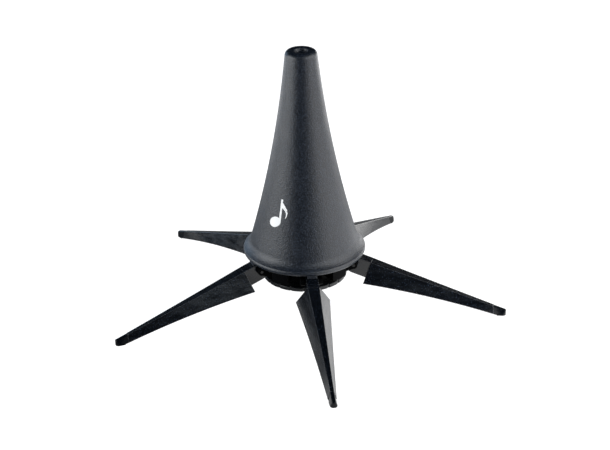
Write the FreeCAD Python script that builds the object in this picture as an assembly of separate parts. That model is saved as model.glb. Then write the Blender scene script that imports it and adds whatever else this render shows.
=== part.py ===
"""Folding trumpet stand: a flared bell cone on a round hub with five folding legs.

Frame: millimetres, +Z up. The origin is on the floor, under the cone's axis, and the first
leg points along -Y. Legs are drawn once along +X, then turned to their places.
"""

import FreeCAD, Part

import math
import os

# ---------------------------------------------------------------- driving dimensions (mm)

# Leg layout
LEG_COUNT = 5
FIRST_LEG_ANGLE = -90.0
LEG_STEP = 360.0 / LEG_COUNT

# How far joined pieces of one solid reach into each other, how far cuts pass their faces,
# and how near an edge has to be to the place it is looked for
JOIN_DEPTH = 1.0
CUT_PAST = 1.0
EDGE_EXACT = 0.01
EDGE_NEAR = 0.5

# Leg pivot and knuckle, in the leg's own plane
PIVOT_R = 36.0
PIVOT_Z = 33.6
PIN_RADIUS = 1.3
PIN_RUNNING_GAP = 0.05
PIN_HALF_LENGTH = 7.3
PIN_END_ROUND = 0.4
KNUCKLE_R = 36.2
KNUCKLE_Z = 32.32
KNUCKLE_RADIUS = 6.3
NECK_HALF_WIDTH = 4.0
NECK_ROOT_R = 58.0
NECK_OVERLAP = 0.3

# Leg crest: a straight narrow strip that falls towards the tip
CREST_END_R = 142.0
CREST_END_Z = 4.0
CREST_SLOPE = 0.33

# Sections of the leg's roof-shaped outside: radius and height of the lower edge, then
# half-width of the crest and of the lower edge
LEG_STATIONS = [
    (43.4, 22.2, 4.0, 11.8),
    (90.0, 13.0, 2.35, 7.05),
    (136.0, 0.5, 1.15, 2.75),
]
# The same four numbers for the hollow under the leg, whose roof is CREST_WALL under the crest
HOLLOW_STATIONS = [
    (42.4, 20.4, 3.1, 10.4),
    (80.0, 14.0, 2.0, 6.4),
    (120.0, 3.0, 0.6, 2.3),
]
CREST_WALL = 2.4
RIB_HALF_WIDTH = 0.8
RIB_START_R = 56.0
RIB_END_R = 126.0

# Foot cap: a rounded boot pushed over the leg's tongue
FOOT_END_R = 142.6
FOOT_HALF_WIDTH = 2.5
FOOT_TOP_HALF_WIDTH = 1.25
FOOT_ROUND = 0.7
FOOT_FLARE = 0.35
FOOT_PAD_START_R = 136.6
HEEL_RISE = 0.5
HEEL_RUN = 0.6
HEEL_BACK_Z = 1.6
HEEL_DIP = 0.1
TIP_MARGIN = 2.0
FOOT_SEAM_R = 133.6
FOOT_SEAM_RADIUS = 6.5
TONGUE_ROOT_R = 130.6
TONGUE_END_R = 139.6
TONGUE_HALF_WIDTH = 1.2
TONGUE_BOTTOM_Z = 1.5
TONGUE_TOP_Z = 3.6

# Base plate with its grip notches
PLATE_RADIUS = 29.6
PLATE_BOTTOM_Z = 21.8
PLATE_THICKNESS = 2.8
PLATE_EDGE_ROUND = 0.6
NOTCH_COUNT = 20
NOTCH_RADIUS = 0.95
NOTCH_PHASE = 9.0

# Hub
HUB_RADIUS = 24.5
HUB_TOP_Z = 36.6
HUB_WALL = 2.4
HUB_FLOOR = 2.6
STEP_RADIUS = 25.2
STEP_HEIGHT = 1.2
EAR_INNER = 4.25
EAR_THICKNESS = 3.2
EAR_RADIUS = 2.6
EAR_START_R = 20.0
EAR_ROOT_Z = 26.0
EAR_END_ROUND = 0.9

# Towers of the hub that plug into the cone's mouth, between the legs
TOWER_OUTER_R = 35.6
TOWER_INNER_R = 31.6
TOWER_HALF_ANGLE = 10.0
TOWER_BASE_Z = 30.0
TOWER_FLOOR = 2.6
TOWER_TOP_Z = 48.0
TOWER_TOP_ROUND = 0.8
TOWER_WEB_HALF_WIDTH = 1.2

# Screws that hold the base plate to the hub
SCREW_CIRCLE_R = 18.5
SCREW_SHANK_RADIUS = 1.25
SCREW_HEAD_RADIUS = 2.6
SCREW_HEAD_HEIGHT = 1.6
SCREW_LENGTH = 9.0
SCREW_BOSS_RADIUS = 3.2
SCREW_BOSS_DROP = 1.5
SCREW_SLOT_WIDTH = 0.7
SCREW_SLOT_DEPTH = 0.7
SCREW_SLOT_LENGTH = 3.2

# Cone, outer face: one long arc, a flare and a rolled bead
CONE_TOP_Z = 187.8
TOP_RIM_R = 7.45
TOP_ROUND = 3.5
TOP_WALL_ANGLE = 6.0
CONE_MIDDLE = (21.55, 115.0)
CONE_WAIST = (37.0, 51.5)
FLARE_MIDDLE = (38.7, 47.2)
FLARE_END = (41.5, 44.4)
BEAD_OUTER = (42.7, 42.4)
BEAD_END = (42.0, 40.9)
RIM_Z = 40.7
RIM_EDGE_R = 41.4
DIMPLE_RADIUS = 4.7
DIMPLE_DEPTH = 3.4
DIMPLE_FULLNESS = 0.72
LIP_DROP = 0.5
LIP_FULLNESS = 0.25
GATE_RADIUS = 1.0
GATE_HEIGHT = 1.0
CONE_WALL = 2.2
SEAT_RADIUS = 35.9
SEAT_Z = 48.1
SEAT_LEDGE = 1.0
CONE_ROOF_Z = 180.0
LOCK_PAD_START_R = 37.2
LOCK_PAD_END_R = 40.6
LOCK_PAD_HALF_WIDTH = 3.2
LOCK_PAD_GAP = 0.35


# ---------------------------------------------------------------- small helpers

def vec(x, y, z):
    """A point from three numbers."""
    return FreeCAD.Vector(x, y, z)


def line(a, b):
    """A straight edge between two points."""
    return Part.LineSegment(a, b).toShape()


def arc(a, middle, b):
    """A circular edge through three points."""
    return Part.Arc(a, middle, b).toShape()


def box(low, high):
    """A block between two corners."""
    size = [high[i] - low[i] for i in range(3)]
    return Part.makeBox(size[0], size[1], size[2], vec(*low))


def cylinder(radius, low_z, high_z, x=0.0, y=0.0):
    """An upright cylinder."""
    return Part.makeCylinder(radius, high_z - low_z, vec(x, y, low_z))


def cross_cylinder(radius, half_length, r, z):
    """A cylinder across a leg that lies along +X, at radius r and height z."""
    return Part.makeCylinder(radius, 2 * half_length, vec(r, -half_length, z), vec(0, 1, 0))


def revolve(edges):
    """A solid of revolution about Z, from edges in the XZ plane."""
    face = Part.Face(Part.Wire(edges))
    return face.revolve(vec(0, 0, 0), vec(0, 0, 1), 360)


def prism(points, half_width):
    """A plate in the leg's plane, from (r, z) points, centred on that plane."""
    corners = [vec(r, -half_width, z) for r, z in points]
    wire = Part.makePolygon(corners + corners[:1])
    return Part.Face(wire).extrude(vec(0, 2 * half_width, 0))


def turned(shape, angle):
    """A copy of a shape, turned about the cone's axis."""
    copy = shape.copy()
    copy.rotate(vec(0, 0, 0), vec(0, 0, 1), angle)
    return copy


def leg_angle(index):
    """Direction of one leg, in degrees from +X."""
    return FIRST_LEG_ANGLE + LEG_STEP * index


def fused(shapes):
    """One clean solid from several that touch."""
    whole = shapes[0]
    for shape in shapes[1:]:
        whole = whole.fuse(shape)
    return whole.removeSplitter()


def rounded(shape, edges, radius):
    """Round some edges, and keep the sharp shape if the kernel can't."""
    try:
        result = shape.makeFillet(radius, edges)
    except Exception:
        return shape
    return result if result.isValid() and result.Volume > 0 else shape


# ---------------------------------------------------------------- cone

def cone_shoulder():
    """Radius and height where the cone's wall meets its rounded top."""
    angle = math.radians(TOP_WALL_ANGLE)
    return (TOP_RIM_R + TOP_ROUND * math.cos(angle),
            CONE_TOP_Z - TOP_ROUND + TOP_ROUND * math.sin(angle))


def cone_outer_radius(z):
    """Radius of the cone's outer face on its long arc, at height z."""
    (x1, y1), (x2, y2), (x3, y3) = cone_shoulder(), CONE_MIDDLE, CONE_WAIST
    circle = Part.ArcOfCircle(vec(x1, 0, y1), vec(x2, 0, y2), vec(x3, 0, y3))
    centre = circle.Center
    return centre.x - math.sqrt(circle.Radius ** 2 - (z - centre.z) ** 2)


def make_cone():
    """The hollow bell cone, open at the bottom, with a dimple in its rounded top."""
    shoulder_r, shoulder_z = cone_shoulder()
    shoulder = vec(shoulder_r, 0, shoulder_z)
    middle = vec(CONE_MIDDLE[0], 0, CONE_MIDDLE[1])
    waist = vec(CONE_WAIST[0], 0, CONE_WAIST[1])
    flare_middle = vec(FLARE_MIDDLE[0], 0, FLARE_MIDDLE[1])
    flare_end = vec(FLARE_END[0], 0, FLARE_END[1])
    bead_outer = vec(BEAD_OUTER[0], 0, BEAD_OUTER[1])
    bead_end = vec(BEAD_END[0], 0, BEAD_END[1])
    rim_edge = vec(RIM_EDGE_R, 0, RIM_Z)
    rim_inner = vec(SEAT_RADIUS, 0, RIM_Z)
    seat = vec(SEAT_RADIUS, 0, SEAT_Z)
    seat_inner = vec(cone_outer_radius(SEAT_Z) - CONE_WALL - SEAT_LEDGE, 0, SEAT_Z)
    inner_mid_z = 0.5 * (SEAT_Z + CONE_ROOF_Z)
    inner_mid = vec(cone_outer_radius(inner_mid_z) - CONE_WALL, 0, inner_mid_z)
    inner_top = vec(cone_outer_radius(CONE_ROOF_Z) - CONE_WALL, 0, CONE_ROOF_Z)
    roof = vec(0, 0, CONE_ROOF_Z)
    dimple_bottom = vec(0, 0, CONE_TOP_Z - DIMPLE_DEPTH)
    dimple_side = vec(DIMPLE_FULLNESS * DIMPLE_RADIUS, 0, CONE_TOP_Z - DIMPLE_FULLNESS * DIMPLE_DEPTH)
    dimple_lip = vec(DIMPLE_RADIUS, 0, CONE_TOP_Z - LIP_DROP)
    top_rim = vec(TOP_RIM_R, 0, CONE_TOP_Z)
    lip_round = vec(0.5 * (DIMPLE_RADIUS + TOP_RIM_R), 0, CONE_TOP_Z - LIP_FULLNESS * LIP_DROP)
    corner = math.radians(0.5 * (90 + TOP_WALL_ANGLE))
    top_side = vec(TOP_RIM_R + TOP_ROUND * math.cos(corner), 0,
                   CONE_TOP_Z - TOP_ROUND + TOP_ROUND * math.sin(corner))
    edges = [
        arc(dimple_bottom, dimple_side, dimple_lip),
        arc(dimple_lip, lip_round, top_rim),
        arc(top_rim, top_side, shoulder),
        arc(shoulder, middle, waist),
        arc(waist, flare_middle, flare_end),
        arc(flare_end, bead_outer, bead_end),
        line(bead_end, rim_edge),
        line(rim_edge, rim_inner),
        line(rim_inner, seat),
        line(seat, seat_inner),
        arc(seat_inner, inner_mid, inner_top),
        line(inner_top, roof),
        line(roof, dimple_bottom),
    ]
    dimple_z = CONE_TOP_Z - DIMPLE_DEPTH
    gate = cylinder(GATE_RADIUS, 0.5 * (CONE_ROOF_Z + dimple_z), dimple_z + GATE_HEIGHT)
    pads = [turned(make_lock_pad(), leg_angle(i)) for i in range(LEG_COUNT)]
    return fused([revolve(edges), gate] + pads)


def make_lock_pad():
    """A pad under the cone's rim, just above a leg's crest, that keeps the leg open."""
    corners = [
        (LOCK_PAD_START_R, crest_z(LOCK_PAD_START_R) + LOCK_PAD_GAP),
        (LOCK_PAD_END_R, crest_z(LOCK_PAD_END_R) + LOCK_PAD_GAP),
        (LOCK_PAD_END_R, RIM_Z + JOIN_DEPTH),
        (LOCK_PAD_START_R, RIM_Z + JOIN_DEPTH),
    ]
    return prism(corners, LOCK_PAD_HALF_WIDTH)


# ---------------------------------------------------------------- hub, plate and screws

def screw_places():
    """Angles of the base plate's screws, midway between the legs."""
    return [leg_angle(i) + 0.5 * LEG_STEP for i in range(LEG_COUNT)]


def sector(inner_r, outer_r, low_z, high_z, half_angle):
    """A block of a ring about +X, between two radii and two heights."""
    edges = [
        line(vec(inner_r, 0, low_z), vec(outer_r, 0, low_z)),
        line(vec(outer_r, 0, low_z), vec(outer_r, 0, high_z)),
        line(vec(outer_r, 0, high_z), vec(inner_r, 0, high_z)),
        line(vec(inner_r, 0, high_z), vec(inner_r, 0, low_z)),
    ]
    face = Part.Face(Part.Wire(edges))
    swept = face.revolve(vec(0, 0, 0), vec(0, 0, 1), 2 * half_angle)
    return turned(swept, -half_angle)


def make_tower():
    """A curved post about +X that plugs into the cone's mouth, with its foot on the hub."""
    foot = sector(HUB_RADIUS - JOIN_DEPTH, TOWER_OUTER_R, TOWER_BASE_Z, TOWER_BASE_Z + TOWER_FLOOR,
                  TOWER_HALF_ANGLE)
    post = sector(TOWER_INNER_R, TOWER_OUTER_R, TOWER_BASE_Z, TOWER_TOP_Z, TOWER_HALF_ANGLE)
    web = box((HUB_RADIUS - JOIN_DEPTH, -TOWER_WEB_HALF_WIDTH, TOWER_BASE_Z),
              (TOWER_INNER_R + JOIN_DEPTH, TOWER_WEB_HALF_WIDTH, HUB_TOP_Z))
    tower = fused([foot, post, web])
    outer_edges = [e for e in tower.Edges
                   if abs(e.BoundBox.ZMin - TOWER_TOP_Z) < EDGE_EXACT
                   and abs(math.hypot(e.CenterOfMass.x, e.CenterOfMass.y)
                           - TOWER_OUTER_R) < EDGE_NEAR]
    return rounded(tower, outer_edges, TOWER_TOP_ROUND)


def make_ear_pair():
    """The two ears that hold one leg's pin, with the leg along +X."""
    reach = [
        (EAR_START_R, EAR_ROOT_Z),
        (HUB_RADIUS, EAR_ROOT_Z),
        (PIVOT_R, PIVOT_Z - EAR_RADIUS),
        (PIVOT_R, PIVOT_Z + EAR_RADIUS),
        (EAR_START_R, PIVOT_Z + EAR_RADIUS),
    ]
    outer = EAR_INNER + EAR_THICKNESS
    block = prism(reach, outer).fuse(cross_cylinder(EAR_RADIUS, outer, PIVOT_R, PIVOT_Z))
    block = block.removeSplitter()
    end_edges = [e for e in block.Edges
                 if e.BoundBox.YLength < EDGE_EXACT and e.BoundBox.XMax > PIVOT_R + EDGE_NEAR]
    block = rounded(block, end_edges, EAR_END_ROUND)
    gap = box((HUB_RADIUS - JOIN_DEPTH, -EAR_INNER, 0), (2 * PIVOT_R, EAR_INNER, CONE_TOP_Z))
    return block.cut(gap)


def make_hub():
    """The leg carrier: a shallow drum with ears, towers and screw bosses."""
    plate_top = PLATE_BOTTOM_Z + PLATE_THICKNESS
    drum = cylinder(HUB_RADIUS, plate_top, HUB_TOP_Z)
    step = cylinder(STEP_RADIUS, plate_top, plate_top + STEP_HEIGHT)
    drum = drum.fuse(step)
    ears = [turned(make_ear_pair(), leg_angle(i)) for i in range(LEG_COUNT)]
    towers = [turned(make_tower(), angle) for angle in screw_places()]
    solid = fused([drum] + ears + towers)
    hollow = cylinder(HUB_RADIUS - HUB_WALL, plate_top + HUB_FLOOR, HUB_TOP_Z + CUT_PAST)
    bosses = []
    for angle in screw_places():
        boss = cylinder(SCREW_BOSS_RADIUS, plate_top, HUB_TOP_Z - SCREW_BOSS_DROP, SCREW_CIRCLE_R)
        bosses.append(turned(boss, angle))
    solid = fused([solid.cut(hollow)] + bosses)
    pin_hole = cross_cylinder(PIN_RADIUS, EAR_INNER + EAR_THICKNESS + CUT_PAST, PIVOT_R, PIVOT_Z)
    for index in range(LEG_COUNT):
        solid = solid.cut(turned(pin_hole, leg_angle(index)))
    for angle in screw_places():
        bore = cylinder(SCREW_SHANK_RADIUS, 0, PLATE_BOTTOM_Z + SCREW_LENGTH, SCREW_CIRCLE_R)
        solid = solid.cut(turned(bore, angle))
    return solid


def make_base_plate():
    """The notched round plate under the hub."""
    top = PLATE_BOTTOM_Z + PLATE_THICKNESS
    plate = cylinder(PLATE_RADIUS, PLATE_BOTTOM_Z, top)
    round_edges = [e for e in plate.Edges if e.Closed]
    plate = rounded(plate, round_edges, PLATE_EDGE_ROUND)
    for index in range(NOTCH_COUNT):
        angle = FIRST_LEG_ANGLE + NOTCH_PHASE + 360.0 * index / NOTCH_COUNT
        notch = cylinder(NOTCH_RADIUS, PLATE_BOTTOM_Z - CUT_PAST, top + CUT_PAST, PLATE_RADIUS)
        plate = plate.cut(turned(notch, angle))
    for angle in screw_places():
        hole = cylinder(SCREW_SHANK_RADIUS, 0, top + CUT_PAST, SCREW_CIRCLE_R)
        sink = cylinder(SCREW_HEAD_RADIUS, 0, PLATE_BOTTOM_Z + SCREW_HEAD_HEIGHT, SCREW_CIRCLE_R)
        plate = plate.cut(turned(hole.fuse(sink), angle))
    return plate


def make_screws():
    """The base plate's screws, as a group of separate solids."""
    screws = []
    for angle in screw_places():
        head_top = PLATE_BOTTOM_Z + SCREW_HEAD_HEIGHT
        head = cylinder(SCREW_HEAD_RADIUS, PLATE_BOTTOM_Z, head_top, SCREW_CIRCLE_R)
        shank = cylinder(SCREW_SHANK_RADIUS, head_top, PLATE_BOTTOM_Z + SCREW_LENGTH,
                         SCREW_CIRCLE_R)
        half = 0.5 * SCREW_SLOT_LENGTH
        for across in (0, 90):
            slot = box((-half, -0.5 * SCREW_SLOT_WIDTH, PLATE_BOTTOM_Z),
                       (half, 0.5 * SCREW_SLOT_WIDTH, PLATE_BOTTOM_Z + SCREW_SLOT_DEPTH))
            slot.rotate(vec(0, 0, 0), vec(0, 0, 1), across)
            slot.translate(vec(SCREW_CIRCLE_R, 0, 0))
            head = head.cut(slot)
        screws.append(turned(head.fuse(shank).removeSplitter(), angle))
    return Part.makeCompound(screws)


# ---------------------------------------------------------------- legs

def crest_z(r):
    """Height of the leg's crest at radius r."""
    return CREST_END_Z + (CREST_END_R - r) * CREST_SLOPE


def trapezoid(r_low, z_low, z_high, half_low, half_high, lean):
    """A closed section across the leg; its top stands off by lean along the leg."""
    corners = [
        vec(r_low, -half_low, z_low),
        vec(r_low, half_low, z_low),
        vec(r_low + lean, half_high, z_high),
        vec(r_low + lean, -half_high, z_high),
    ]
    return Part.makePolygon(corners + corners[:1])


def square_lean(r_low, z_low):
    """How far a section square to the crest leans from its lower edge to the crest."""
    height = crest_z(r_low) - z_low
    return height * CREST_SLOPE / (1 + CREST_SLOPE ** 2)


def leg_loft(stations):
    """A smooth solid through trapezoid sections, each square to the crest."""
    sections = []
    for r, z_low, z_high, half_high, half_low in stations:
        lean = square_lean(r, z_low)
        sections.append(trapezoid(r, z_low, z_high, half_low, half_high, lean))
    return Part.makeLoft(sections, True, False)


def make_leg_envelope():
    """The roof-shaped outside of a leg, from its hub end to where the tip begins."""
    stations = []
    for r, z_low, half_high, half_low in LEG_STATIONS:
        z_high = crest_z(r + square_lean(r, z_low))
        stations.append((r, z_low, z_high, half_high, half_low))
    return leg_loft(stations)


def make_leg_hollow():
    """The space under a leg, between its two flanks, open below and at the hub end."""
    stations = []
    for r, z_low, half_high, half_low in HOLLOW_STATIONS:
        z_high = crest_z(r + square_lean(r, z_low)) - CREST_WALL
        stations.append((r, z_low, z_high, half_high, half_low))
    return leg_loft(stations)


def make_neck(envelope):
    """The knuckle on the pin and the straight neck, whose root stays inside the flanks."""
    slope = math.atan(CREST_SLOPE)
    up = (math.sin(slope), math.cos(slope))
    knuckle = cross_cylinder(KNUCKLE_RADIUS, NECK_HALF_WIDTH, KNUCKLE_R, KNUCKLE_Z)
    near = (KNUCKLE_R, KNUCKLE_Z)
    far = (NECK_ROOT_R, KNUCKLE_Z - (NECK_ROOT_R - KNUCKLE_R) * CREST_SLOPE)
    points = []
    for (r, z), side in ((near, 1), (far, 1), (far, -1), (near, -1)):
        points.append((r + side * KNUCKLE_RADIUS * up[0], z + side * KNUCKLE_RADIUS * up[1]))
    neck = knuckle.fuse(prism(points, NECK_HALF_WIDTH))
    start_r, start_z = LEG_STATIONS[0][:2]
    before_flanks = prism([
        (0, 0),
        (start_r + NECK_OVERLAP - start_z * CREST_SLOPE, 0),
        (start_r + NECK_OVERLAP + start_z * CREST_SLOPE, 2 * start_z),
        (0, 2 * start_z),
    ], 2 * NECK_HALF_WIDTH)
    return [neck.common(before_flanks), neck.common(envelope)]


def make_tip():
    """The outside of the foot: rounded in plan, flat below, falling with the crest above."""
    start_r = FOOT_SEAM_R - TIP_MARGIN
    end_r = FOOT_END_R + TIP_MARGIN
    sections = []
    for r, half_width in ((start_r, LEG_STATIONS[-1][3]), (end_r, FOOT_HALF_WIDTH)):
        half_low = half_width + FOOT_FLARE
        sections.append(trapezoid(r, -CUT_PAST, crest_z(r), half_low, FOOT_TOP_HALF_WIDTH, 0.0))
    roof = Part.makeLoft(sections, True, True)
    nose_r = FOOT_END_R - FOOT_HALF_WIDTH
    start_half = FOOT_HALF_WIDTH + HEEL_RISE
    outline = Part.Wire([
        line(vec(start_r, -start_half, 0), vec(nose_r, -FOOT_HALF_WIDTH, 0)),
        arc(vec(nose_r, -FOOT_HALF_WIDTH, 0), vec(FOOT_END_R, 0, 0), vec(nose_r, FOOT_HALF_WIDTH, 0)),
        line(vec(nose_r, FOOT_HALF_WIDTH, 0), vec(start_r, start_half, 0)),
        line(vec(start_r, start_half, 0), vec(start_r, -start_half, 0)),
    ])
    plan = Part.Face(outline).extrude(vec(0, 0, PIVOT_Z))
    heel = prism([(start_r - CUT_PAST, -HEEL_DIP), (FOOT_PAD_START_R, -HEEL_DIP),
                  (FOOT_PAD_START_R - HEEL_RUN, HEEL_RISE), (start_r - CUT_PAST, HEEL_BACK_Z)],
                 2 * FOOT_HALF_WIDTH)
    tip = roof.common(plan).cut(heel).removeSplitter()
    top_edges = [e for e in tip.Edges
                 if e.BoundBox.ZMin > CREST_END_Z - EDGE_NEAR and e.BoundBox.XMax > start_r + EDGE_NEAR]
    return rounded(tip, top_edges, FOOT_ROUND)


def make_tongue():
    """The leg's own tip, inside the foot cap."""
    return box((TONGUE_ROOT_R, -TONGUE_HALF_WIDTH, TONGUE_BOTTOM_Z),
               (TONGUE_END_R, TONGUE_HALF_WIDTH, TONGUE_TOP_Z))


def foot_zone():
    """The upright round zone that the foot cap fills; its edge is the seam."""
    return cylinder(FOOT_SEAM_RADIUS, -CUT_PAST, PIVOT_Z, FOOT_SEAM_R + FOOT_SEAM_RADIUS)


def make_foot_cap():
    """The rounded boot on a leg's tip, with the leg along +X."""
    return make_tip().common(foot_zone()).cut(make_tongue())


def make_leg():
    """One moulded leg along +X, with its pin bore and its tongue."""
    envelope = make_leg_envelope()
    shell = envelope.cut(make_leg_hollow())
    rib = box((RIB_START_R, -RIB_HALF_WIDTH, 0), (RIB_END_R, RIB_HALF_WIDTH, PIVOT_Z))
    leg = fused([shell, rib.common(envelope)] + make_neck(envelope))
    leg = leg.cut(foot_zone())
    leg = fused([leg, make_tongue()])
    bore = cross_cylinder(PIN_RADIUS + PIN_RUNNING_GAP, 2 * NECK_HALF_WIDTH, PIVOT_R, PIVOT_Z)
    return leg.cut(bore)


def make_pin():
    """One pivot pin with rounded ends, across a leg that lies along +X."""
    pin = cross_cylinder(PIN_RADIUS, PIN_HALF_LENGTH, PIVOT_R, PIVOT_Z)
    return rounded(pin, [e for e in pin.Edges if e.Closed], PIN_END_ROUND)


# ---------------------------------------------------------------- output

def save(name, shape):
    """Write one node."""
    shape.exportStep("parts/" + name + ".step")


def main():
    """Build every node and write it."""
    os.makedirs("parts", exist_ok=True)
    save("cone", make_cone())
    save("hub", make_hub())
    save("base_plate", make_base_plate())
    save("base_screws", make_screws())
    leg = make_leg()
    foot_cap = make_foot_cap()
    pin = make_pin()
    for index in range(LEG_COUNT):
        number = str(index + 1)
        save("leg_" + number, turned(leg, leg_angle(index)))
        save("foot_cap_" + number, turned(foot_cap, leg_angle(index)))
        save("pivot_pin_" + number, turned(pin, leg_angle(index)))


main()
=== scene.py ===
"""Looks of the folding trumpet stand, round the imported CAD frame. Metres, +Z up."""

import math

import bpy
from mathutils import Matrix, Vector
from mathutils.bvhtree import BVHTree
from mathutils.geometry import delaunay_2d_cdt


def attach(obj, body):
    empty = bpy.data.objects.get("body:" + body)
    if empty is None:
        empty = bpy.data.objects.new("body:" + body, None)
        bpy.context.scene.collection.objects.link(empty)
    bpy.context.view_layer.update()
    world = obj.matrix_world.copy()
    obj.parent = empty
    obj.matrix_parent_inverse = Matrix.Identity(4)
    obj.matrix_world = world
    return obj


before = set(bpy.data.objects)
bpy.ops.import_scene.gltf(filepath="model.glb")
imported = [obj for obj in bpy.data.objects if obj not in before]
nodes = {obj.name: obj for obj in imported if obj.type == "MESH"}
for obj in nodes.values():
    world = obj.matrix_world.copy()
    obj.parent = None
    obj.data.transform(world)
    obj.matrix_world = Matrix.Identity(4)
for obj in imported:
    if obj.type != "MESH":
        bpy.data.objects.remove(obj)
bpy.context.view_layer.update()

MM = 0.001
scene = bpy.context.scene


# ---------------------------------------------------------------- camera

CAMERA_AZIMUTH = -6.9
CAMERA_ELEVATION = 26.51
CAMERA_DISTANCE = 1052.7 * MM
CAMERA_ROLL = -0.99
CAMERA_LENS_MM = 89.1
CAMERA_SENSOR_MM = 36.0
CAMERA_NEAR = 10 * MM
CAMERA_FAR = 50.0
AIM_SIDEWAYS = 0.68 * MM
AIM_HEIGHT = 58.8 * MM


def make_camera():
    """The camera, turned about the stand, raised, aimed near the cone's axis and rolled a little."""
    turn = math.radians(CAMERA_AZIMUTH)
    tilt = math.radians(CAMERA_ELEVATION)
    roll = math.radians(CAMERA_ROLL)
    right = Vector((math.cos(turn), math.sin(turn), 0))
    back = Vector((math.sin(turn) * math.cos(tilt), -math.cos(turn) * math.cos(tilt), math.sin(tilt)))
    up = back.cross(right)
    rolled_right = right * math.cos(roll) + up * math.sin(roll)
    rolled_up = up * math.cos(roll) - right * math.sin(roll)
    aim = right * AIM_SIDEWAYS + Vector((0, 0, AIM_HEIGHT))
    data = bpy.data.cameras.new("camera")
    data.lens = CAMERA_LENS_MM
    data.sensor_width = CAMERA_SENSOR_MM
    data.clip_start, data.clip_end = CAMERA_NEAR, CAMERA_FAR
    camera = bpy.data.objects.new("camera", data)
    rotation = Matrix((rolled_right, rolled_up, back)).transposed().to_4x4()
    camera.matrix_world = Matrix.Translation(aim + back * CAMERA_DISTANCE) @ rotation
    scene.collection.objects.link(camera)
    scene.camera = camera


# ---------------------------------------------------------------- node helpers

BEVEL_SAMPLES = 6
# cosines between the softened and the true normal: full pale edge, partly wear and partly painted
# highlight, up to the first, none past the second
EDGE_FULL = 0.80
EDGE_NONE = 0.995


class Graph:
    """A short way to write a material's nodes."""

    def __init__(self, name):
        self.material = bpy.data.materials.new(name)
        self.material.use_nodes = True
        self.tree = self.material.node_tree
        self.tree.nodes.clear()
        self.output = self.tree.nodes.new("ShaderNodeOutputMaterial")
        self.shader = self.tree.nodes.new("ShaderNodeBsdfPrincipled")
        self.link(self.shader.outputs[0], self.output.inputs["Surface"])

    def link(self, source, target):
        """Join an output to an input."""
        self.tree.links.new(source, target)

    def put(self, value, target):
        """A socket's value: a number, a colour or another node's output."""
        if isinstance(value, bpy.types.NodeSocket):
            self.link(value, target)
        else:
            target.default_value = value

    def place(self, stretch=(1, 1, 1)):
        """The point on the piece in metres, stretched along each axis."""
        where = self.tree.nodes.new("ShaderNodeTexCoord")
        mapping = self.tree.nodes.new("ShaderNodeMapping")
        mapping.inputs["Scale"].default_value = stretch
        self.link(where.outputs["Object"], mapping.inputs["Vector"])
        return mapping.outputs[0]

    def noise(self, size, detail, rough, where=None, stretch=(1, 1, 1)):
        """Noise with features of about one size, in metres."""
        node = self.tree.nodes.new("ShaderNodeTexNoise")
        node.inputs["Scale"].default_value = 1.0 / size
        node.inputs["Detail"].default_value = detail
        node.inputs["Roughness"].default_value = rough
        self.link(where or self.place(stretch), node.inputs["Vector"])
        return node.outputs[0]

    def mix(self, share, a, b):
        """A colour between a and b."""
        node = self.tree.nodes.new("ShaderNodeMix")
        node.data_type = "RGBA"
        self.put(share, node.inputs[0])
        self.put(a, node.inputs[6])
        self.put(b, node.inputs[7])
        return node.outputs[2]

    def span(self, value, low, high, in_low=0.0, in_high=1.0):
        """A value mapped from one range to another."""
        node = self.tree.nodes.new("ShaderNodeMapRange")
        self.link(value, node.inputs[0])
        for index, number in enumerate((in_low, in_high, low, high)):
            node.inputs[index + 1].default_value = number
        return node.outputs[0]

    def math(self, operation, a, b):
        """The sum, product or the like of two values."""
        node = self.tree.nodes.new("ShaderNodeMath")
        node.operation = operation
        self.put(a, node.inputs[0])
        self.put(b, node.inputs[1])
        return node.outputs[0]

    def rounded_normal(self, radius):
        """The normal with every hard edge softened."""
        node = self.tree.nodes.new("ShaderNodeBevel")
        node.samples = BEVEL_SAMPLES
        node.inputs["Radius"].default_value = radius
        return node.outputs[0]

    def edge(self, radius):
        """1 on hard edges and 0 away from them."""
        soft = self.rounded_normal(radius)
        sharp = self.tree.nodes.new("ShaderNodeNewGeometry")
        dot = self.tree.nodes.new("ShaderNodeVectorMath")
        dot.operation = "DOT_PRODUCT"
        self.link(soft, dot.inputs[0])
        self.link(sharp.outputs["Normal"], dot.inputs[1])
        return self.span(dot.outputs["Value"], 1.0, 0.0, EDGE_FULL, EDGE_NONE)

    def bump(self, height, distance, normal=None):
        """A normal roughened by a height, on top of another normal if one is given."""
        node = self.tree.nodes.new("ShaderNodeBump")
        node.inputs["Distance"].default_value = distance
        self.link(height, node.inputs["Height"])
        if normal is not None:
            self.link(normal, node.inputs["Normal"])
        return node.outputs[0]

    def finish(self, color, roughness, normal, specular=0.5, metallic=0.0):
        """Fill in the shader and hand back the material."""
        self.put(color, self.shader.inputs["Base Color"])
        self.put(roughness, self.shader.inputs["Roughness"])
        self.put(normal, self.shader.inputs["Normal"])
        self.shader.inputs["Specular IOR Level"].default_value = specular
        self.shader.inputs["Metallic"].default_value = metallic
        return self.material


def grey(level, blue=0.0):
    """A neutral colour, a little bluer if asked."""
    return (level * (1 - 0.5 * blue), level, level * (1 + blue), 1)


# ---------------------------------------------------------------- materials

LEG_COUNT = 5
STREAK_STRETCH = 0.18


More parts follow.
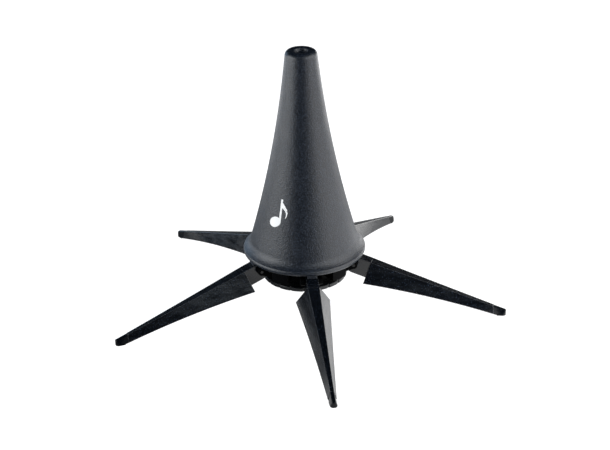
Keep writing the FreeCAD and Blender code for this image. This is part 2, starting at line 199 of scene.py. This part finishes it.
def grained_plastic(name, level, blue, speck, edge_wear_and_highlight_level, roughness, specular, grain, depth, edge_radius):
    """Matt black moulded plastic: grain of a size and depth, pale specks, and paler edges that are partly
    wear and partly a painted highlight.
    """
    g = Graph(name)
    fine = g.noise(grain, 2.0, 0.55)
    blotch = g.noise(9 * MM, 3.0, 0.55)
    scuff = g.noise(2.2 * MM, 2.0, 0.6)
    tone = g.mix(g.span(blotch, 0.0, 1.0, 0.3, 0.7), grey(level * 0.8, blue), grey(level * 1.2, blue))
    tone = g.mix(g.span(fine, 0.0, 1.0, 0.46, 0.72), tone, grey(speck, 0.6))
    # edges made paler in patches: partly wear, partly a painted highlight where rounded edges catch the
    # light
    wear_and_edge_highlight = g.math("MULTIPLY", g.edge(edge_radius), g.span(scuff, 0.35, 1.0, 0.35, 0.65))
    tone = g.mix(wear_and_edge_highlight, tone, grey(edge_wear_and_highlight_level, 0.04))
    shine = g.math("ADD", g.span(blotch, roughness - 0.04, roughness + 0.04, 0.3, 0.7),
                   g.span(fine, -0.05, 0.05, 0.3, 0.7))
    normal = g.bump(fine, depth, g.rounded_normal(edge_radius))
    return g.finish(tone, shine, normal, specular)


def cone_plastic():
    """Coarse spark-eroded grain."""
    return grained_plastic("cone_grain", level=0.0025, blue=1.6, speck=0.026, edge_wear_and_highlight_level=0.05,
                           roughness=0.38, specular=0.48,
                           grain=0.85 * MM, depth=0.24 * MM, edge_radius=0.5 * MM)


def hub_plastic():
    """Finer and darker than the cone; its near-black colour and low specular are partly the plastic's own
    and partly painted shade under the cone's rim.
    """
    # near-black colour and specular of 0.03: partly painted shade where the hub sits under the cone's rim
    return grained_plastic("hub_satin", level=0.001, blue=0.1, speck=0.002, edge_wear_and_highlight_level=0.01,
                           roughness=0.50, specular=0.03,
                           grain=0.40 * MM, depth=0.04 * MM, edge_radius=0.4 * MM)


def plate_plastic():
    """As fine as the hub, and a little shinier."""
    return grained_plastic("plate_satin", level=0.004, blue=0.1, speck=0.008, edge_wear_and_highlight_level=0.08,
                           roughness=0.40, specular=0.4,
                           grain=0.40 * MM, depth=0.04 * MM, edge_radius=0.4 * MM)


def along_piece(g, direction):
    """The point on the piece, turned so that X runs along it and stretched that way."""
    where = g.tree.nodes.new("ShaderNodeTexCoord")
    turned = g.tree.nodes.new("ShaderNodeMapping")
    turned.inputs["Rotation"].default_value = (0, 0, -direction)
    stretched = g.tree.nodes.new("ShaderNodeMapping")
    stretched.inputs["Scale"].default_value = (STREAK_STRETCH, 1, 1)
    g.link(where.outputs["Object"], turned.inputs["Vector"])
    g.link(turned.outputs[0], stretched.inputs["Vector"])
    return stretched.outputs[0]


def flow_plastic(name, level, roughness, direction):
    """Satin glass-filled plastic: pale specks, faint flow streaks that run along the piece, and paler
    edges that are partly wear and partly a painted highlight.
    """
    g = Graph(name)
    streak = g.noise(2.4 * MM, 4.0, 0.6, where=along_piece(g, direction))
    fine = g.noise(0.42 * MM, 4.0, 0.7)
    speck = g.noise(0.85 * MM, 2.0, 0.5)
    tone = g.mix(g.span(streak, 0.0, 1.0, 0.35, 0.65), grey(level * 0.75, 0.7), grey(level * 1.25, 0.7))
    tone = g.mix(g.span(speck, 0.0, 1.0, 0.57, 0.74), tone, grey(0.026, 0.6))
    # edges made paler in patches: partly wear, partly a painted highlight where rounded edges catch the
    # light
    wear_and_edge_highlight = g.math("MULTIPLY", g.edge(0.45 * MM), g.span(speck, 0.35, 1.0, 0.35, 0.6))
    tone = g.mix(wear_and_edge_highlight, tone, grey(0.13, 0.06))
    shine = g.math("ADD", g.span(streak, roughness - 0.06, roughness + 0.06, 0.3, 0.7),
                   g.span(fine, -0.05, 0.05, 0.3, 0.7))
    height = g.math("ADD", g.math("MULTIPLY", speck, 0.8), g.math("MULTIPLY", streak, 0.4))
    normal = g.bump(height, 0.045 * MM, g.rounded_normal(0.7 * MM))
    return g.finish(tone, shine, normal)


def gloss_cap_plastic(name, level):
    """Glossy black plastic for the feet, with faint scuffs and paler edges that are partly wear and partly
    a painted highlight.
    """
    g = Graph(name)
    fine = g.noise(0.9 * MM, 2.0, 0.5)
    scuff = g.noise(1.6 * MM, 4.0, 0.7)
    tone = g.mix(g.span(scuff, 0.0, 1.0, 0.58, 0.75), grey(level, 0.8), grey(level * 3, 0.5))
    # edges made paler in patches: partly wear, partly a painted highlight on the rounded cap edges
    wear_and_edge_highlight = g.math("MULTIPLY", g.edge(0.15 * MM), g.span(scuff, 0.1, 0.8, 0.4, 0.7))
    tone = g.mix(wear_and_edge_highlight, tone, grey(0.012, 0.03))
    shine = g.span(scuff, 0.06, 0.18, 0.35, 0.7)
    return g.finish(tone, shine, g.bump(fine, 0.02 * MM, g.rounded_normal(0.9 * MM)), specular=0.24)


def plain_steel(name, level, roughness):
    """Steel with turning marks and faint tarnish."""
    g = Graph(name)
    marks = g.noise(0.12 * MM, 2.0, 0.5, stretch=(1, 1, 0.1))
    stain = g.noise(1.3 * MM, 3.0, 0.6)
    tone = g.mix(g.span(stain, 0.0, 1.0, 0.4, 0.7), grey(level), grey(level * 0.6))
    shine = g.span(marks, roughness - 0.08, roughness + 0.10, 0.3, 0.7)
    return g.finish(tone, shine, g.bump(marks, 0.01 * MM, g.rounded_normal(0.15 * MM)), metallic=1.0)


def printed_white(name):
    """White pad-printed ink: slightly uneven, a little rougher than the plastic."""
    g = Graph(name)
    fine = g.noise(0.35 * MM, 3.0, 0.6)
    tone = g.mix(g.span(fine, 0.0, 0.35, 0.4, 0.75), grey(0.86), grey(0.70))
    shine = g.span(fine, 0.45, 0.6, 0.3, 0.7)
    return g.finish(tone, shine, g.bump(fine, 0.01 * MM))


def paint(name, material):
    """Give a material to a CAD node."""
    mesh = nodes[name].data
    mesh.materials.clear()
    mesh.materials.append(material)


def leg_direction(index):
    """Angle of one leg about the cone's axis, in radians from +X."""
    return math.radians(-90 + index * 360 / LEG_COUNT)


def finish_cad_nodes():
    """Materials for every carried-over CAD node."""
    paint("cone", cone_plastic())
    paint("hub", hub_plastic())
    paint("base_plate", plate_plastic())
    paint("base_screws", plain_steel("zinc_steel", level=0.5, roughness=0.32))
    black_steel = plain_steel("black_steel", level=0.05, roughness=0.38)
    cap_plastic = gloss_cap_plastic("foot_gloss", level=0.002)
    for index in range(LEG_COUNT):
        number = str(index + 1)
        paint("leg_" + number, flow_plastic("leg_flow_" + number, level=0.002, roughness=0.19,
                                            direction=leg_direction(index)))
        paint("foot_cap_" + number, cap_plastic)
        paint("pivot_pin_" + number, black_steel)


# ---------------------------------------------------------------- stage and light

FLOOR_HALF = 4.0
FLOOR_Z = -0.05 * MM
FLOOR_GREY = 0.30
FLOOR_ROUGHNESS = 0.9
FLOOR_SPECULAR = 0.1
FLOOR_GLOW = 0.95
# pools of light on the floor: place as the camera sees it, glow, and the radii where it fades
POOLS = (((0.24, -0.06), 2.2, 0.12, 0.30),
         ((-0.50, 0.42), 2.6, 0.12, 0.40),
         ((0.42, 0.42), 1.2, 0.10, 0.30))
SURROUND = 0.02
SURROUND_SEEN = 1.1
SURROUND_TINT = (0.9, 0.95, 1, 1)
LIGHT_AIM = Vector((0, 0, 0.16))
WHITE = (1, 1, 1)
COOL_WHITE = (0.95, 0.98, 1)
PALE_BLUE = (0.78, 0.90, 1)
SKY_BLUE = (0.55, 0.75, 1)
# soft boxes: name, place as the camera sees it, width, height, brightness and tint
SOFT_BOXES = (("left_box", (-0.62, -0.16, 0.25), 0.80, 0.50, 4.7, COOL_WHITE),
              ("left_strip", (-0.60, -0.155, 0.33), 0.80, 0.12, 1.0, COOL_WHITE),
              ("back_left_box", (-0.55, 0.62, 0.22), 0.60, 0.40, 1.6, SKY_BLUE),
              ("right_box", (0.64, -0.20, 0.37), 1.10, 0.74, 3.0, WHITE),
              ("right_strip", (0.62, -0.20, 0.54), 0.90, 0.12, 2.5, WHITE),
              ("back_right_box", (0.38, 0.46, 0.09), 0.50, 0.18, 3.8, WHITE),
              ("front_right_box", (0.85, -1.80, 1.59), 0.50, 0.40, 9.0, PALE_BLUE))


def view_point(sideways, away, up):
    """A point given as the camera sees it: to its right, away from it past the stand, and up."""
    turn = math.radians(CAMERA_AZIMUTH)
    right = Vector((math.cos(turn), math.sin(turn), 0))
    beyond = Vector((-math.sin(turn), math.cos(turn), 0))
    return right * sideways + beyond * away + Vector((0, 0, up))


def seen_directly(tree, seen, otherwise):
    """A strength that differs between what the eye sees and what lights the stand."""
    path = tree.nodes.new("ShaderNodeLightPath")
    mix = tree.nodes.new("ShaderNodeMix")
    tree.links.new(path.outputs["Is Camera Ray"], mix.inputs[0])
    if isinstance(otherwise, bpy.types.NodeSocket):
        tree.links.new(otherwise, mix.inputs[2])
    else:
        mix.inputs[2].default_value = otherwise
    mix.inputs[3].default_value = seen
    return mix.outputs[0]


def pool_of_light(tree, place, glow, inner, outer):
    """A soft round pool of light on the floor beside the stand."""
    where = tree.nodes.new("ShaderNodeTexCoord")
    offset = tree.nodes.new("ShaderNodeVectorMath")
    offset.operation = "SUBTRACT"
    offset.inputs[1].default_value = view_point(*place, 0)
    length = tree.nodes.new("ShaderNodeVectorMath")
    length.operation = "LENGTH"
    fade = tree.nodes.new("ShaderNodeMapRange")
    fade.interpolation_type = "SMOOTHSTEP"
    for index, number in enumerate((inner, outer, glow, 0.0)):
        fade.inputs[index + 1].default_value = number
    tree.links.new(where.outputs["Object"], offset.inputs[0])
    tree.links.new(offset.outputs["Vector"], length.inputs[0])
    tree.links.new(length.outputs["Value"], fade.inputs[0])
    return fade.outputs[0]


def all_pools(tree):
    """The sum of every pool of light on the floor."""
    total = pool_of_light(tree, *POOLS[0])
    for pool in POOLS[1:]:
        add = tree.nodes.new("ShaderNodeMath")
        tree.links.new(total, add.inputs[0])
        tree.links.new(pool_of_light(tree, *pool), add.inputs[1])
        total = add.outputs[0]
    return total


def make_floor():
    """A plain pale floor, bright enough to look like white paper."""
    mesh = bpy.data.meshes.new("floor")
    half = FLOOR_HALF
    corners = [(-half, -half), (half, -half), (half, half), (-half, half)]
    mesh.from_pydata([(x, y, FLOOR_Z) for x, y in corners], [], [(0, 1, 2, 3)])
    floor = bpy.data.objects.new("floor", mesh)
    scene.collection.objects.link(floor)
    material = bpy.data.materials.new("floor_paper")
    material.use_nodes = True
    tree = material.node_tree
    shader = tree.nodes["Principled BSDF"]
    shader.inputs["Base Color"].default_value = (FLOOR_GREY, FLOOR_GREY, FLOOR_GREY, 1)
    shader.inputs["Roughness"].default_value = FLOOR_ROUGHNESS
    shader.inputs["Specular IOR Level"].default_value = FLOOR_SPECULAR
    shader.inputs["Emission Color"].default_value = (1, 1, 1, 1)
    tree.links.new(seen_directly(tree, FLOOR_GLOW, all_pools(tree)),
                   shader.inputs["Emission Strength"])
    mesh.materials.append(material)


def soft_box(name, place, width, height, brightness, tint):
    """A large soft light that faces the stand, at a place given as the camera sees it."""
    data = bpy.data.lights.new(name, "AREA")
    data.shape = "RECTANGLE"
    data.size, data.size_y = width, height
    data.energy = brightness * math.pi * width * height
    data.color = tint
    light = bpy.data.objects.new(name, data)
    light.location = view_point(*place)
    light.rotation_mode = "QUATERNION"
    light.rotation_quaternion = (light.location - LIGHT_AIM).to_track_quat("Z", "Y")
    light.visible_camera = False
    scene.collection.objects.link(light)


def make_light():
    """The soft boxes and a faint even surround, shown without any tone curve."""
    for box in SOFT_BOXES:
        soft_box(*box)
    world = bpy.data.worlds.new("surround")
    world.use_nodes = True
    tree = world.node_tree
    sky = tree.nodes["Background"]
    sky.inputs["Color"].default_value = SURROUND_TINT
    tree.links.new(seen_directly(tree, SURROUND_SEEN, SURROUND), sky.inputs["Strength"])
    scene.world = world
    scene.view_settings.view_transform = "Standard"
    scene.view_settings.look = "None"
    scene.view_settings.exposure = 0.0


# ---------------------------------------------------------------- printed mark

MARK_ANGLE = math.radians(-131.4)
MARK_Z = 80.0 * MM
MARK_LIFT = 0.06 * MM
MARK_INK = 0.05 * MM
MARK_GRID = 0.8 * MM
# the grid's shift off the outlines, as shares of its step, so that no two points meet
MARK_SHIFT = (0.37, 0.41)
MARK_REACH = 13 * MM
MARK_MERGE = 1e-7
RAY_START = 100 * MM
# the note's outline in mm, from the mark's centre
HEAD_HALF_LONG = 4.7
HEAD_HALF_SHORT = 3.4
HEAD_SLANT = math.radians(24)
HEAD_CENTRE = (-2.6, -6.4)
HEAD_STEPS = 40
STEM_LEFT = 0.5
STEM_RIGHT = 1.9
STEM_LOW = -6.0
STEM_HIGH = 9.8


def note_head():
    """The slanted oval of an eighth note."""
    points = []
    for step in range(HEAD_STEPS):
        turn = 2 * math.pi * step / HEAD_STEPS
        along, across = HEAD_HALF_LONG * math.cos(turn), HEAD_HALF_SHORT * math.sin(turn)
        points.append((HEAD_CENTRE[0] + along * math.cos(HEAD_SLANT) - across * math.sin(HEAD_SLANT),
                       HEAD_CENTRE[1] + along * math.sin(HEAD_SLANT) + across * math.cos(HEAD_SLANT)))
    return points


def note_stem():
    """The upright stem."""
    return [(STEM_LEFT, STEM_LOW), (STEM_RIGHT, STEM_LOW), (STEM_RIGHT, STEM_HIGH), (STEM_LEFT, STEM_HIGH)]


def note_flag():
    """The flag that curls down from the stem's top."""
    outer = [(1.2, STEM_HIGH), (2.1, 7.6), (3.9, 5.5), (5.6, 3.4), (6.3, 1.0), (5.9, -1.3), (4.9, -3.0)]
    inner = [(5.3, -0.9), (5.2, 0.9), (4.2, 2.4), (2.8, 3.5), (1.2, 4.3)]
    return outer + inner


def cone_spot(tree, across, up):
    """The point of the cone's skin at a place of the mark, and the skin's outward normal."""
    axis_point = Vector((0, 0, MARK_Z + up))
    middle = Vector((math.cos(MARK_ANGLE), math.sin(MARK_ANGLE), 0))
    hit = tree.ray_cast(axis_point + middle * RAY_START, -middle)[0]
    angle = MARK_ANGLE + across / math.hypot(hit.x, hit.y)
    outward = Vector((math.cos(angle), math.sin(angle), 0))
    found, normal = tree.ray_cast(axis_point + outward * RAY_START, -outward)[:2]
    if normal.dot(outward) < 0:
        normal = -normal
    return found, normal


def note_faces():
    """The note's face, cut into small pieces: flat points in metres, and faces by point."""
    flat, loops = [], []
    for outline in (note_head(), note_stem(), note_flag()):
        loops.append(list(range(len(flat), len(flat) + len(outline))))
        flat += [Vector((x * MM, y * MM)) for x, y in outline]
    edges = [(loop[i], loop[(i + 1) % len(loop)]) for loop in loops for i in range(len(loop))]
    count = int(2 * MARK_REACH / MARK_GRID)
    flat += [Vector((-MARK_REACH + (i + MARK_SHIFT[0]) * MARK_GRID,
                     -MARK_REACH + (j + MARK_SHIFT[1]) * MARK_GRID))
             for i in range(count) for j in range(count)]
    points, _, faces = delaunay_2d_cdt(flat, edges, [], 1, MARK_MERGE)[:3]
    used = sorted({index for face in faces for index in face})
    place = {index: number for number, index in enumerate(used)}
    return [points[index] for index in used], [tuple(place[index] for index in face) for face in faces]


def rim_edges(faces):
    """The edges that only one face has, in that face's own order."""
    edges = {(face[i], face[(i + 1) % len(face)]): None for face in faces for i in range(len(face))}
    return [(first, second) for first, second in edges if (second, first) not in edges]


def make_mark():
    """A plain eighth note in white ink, laid on the cone's skin as a thin closed layer."""
    cone = nodes["cone"]
    skin = BVHTree.FromPolygons([cone.matrix_world @ v.co for v in cone.data.vertices],
                                [tuple(p.vertices) for p in cone.data.polygons])
    points, faces = note_faces()
    spots = [cone_spot(skin, point.x, point.y) for point in points]
    total = len(spots)
    vertices = [spot + normal * (MARK_LIFT + MARK_INK) for spot, normal in spots]
    vertices += [spot + normal * MARK_LIFT for spot, normal in spots]
    backs = [tuple(index + total for index in reversed(face)) for face in faces]
    walls = [(first, first + total, second + total, second) for first, second in rim_edges(faces)]
    mesh = bpy.data.meshes.new("note_mark")
    mesh.from_pydata(vertices, [], faces + backs + walls)
    mesh.materials.append(printed_white("white_ink"))
    mark = bpy.data.objects.new("note_mark", mesh)
    scene.collection.objects.link(mark)
    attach(mark, "cone_body")


# ---------------------------------------------------------------- build

make_camera()
make_floor()
make_light()
finish_cad_nodes()
make_mark()
